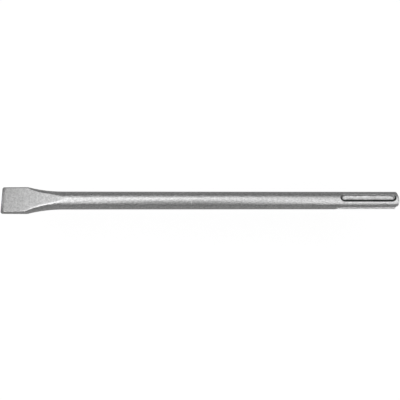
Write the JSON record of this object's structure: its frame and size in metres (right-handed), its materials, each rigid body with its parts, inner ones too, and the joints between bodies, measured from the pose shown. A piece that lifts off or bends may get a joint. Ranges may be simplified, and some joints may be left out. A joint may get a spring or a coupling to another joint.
{
  "type": "flat chisel for a rotary hammer",
  "caption": "Forged flat chisel with a ground cutting edge and an 18 mm round shank with closed locking grooves and open drive grooves.",
  "frame": {"origin": "centre of the bounding box, which lies on the axis of the bar halfway along the tool", "axes": "+X along the tool from the cutting edge to the striking end, +Z out of the upper blade face, +Y along the cutting edge"},
  "size_m": [0.4, 0.027, 0.018],
  "materials": {
    "forged_steel": "grey blasted steel on the blade, satin turned bar and shank, ground bevels"
  },
  "bodies": {
    "root": {"chisel": "forged_steel"}
  },
  "joints": []
}
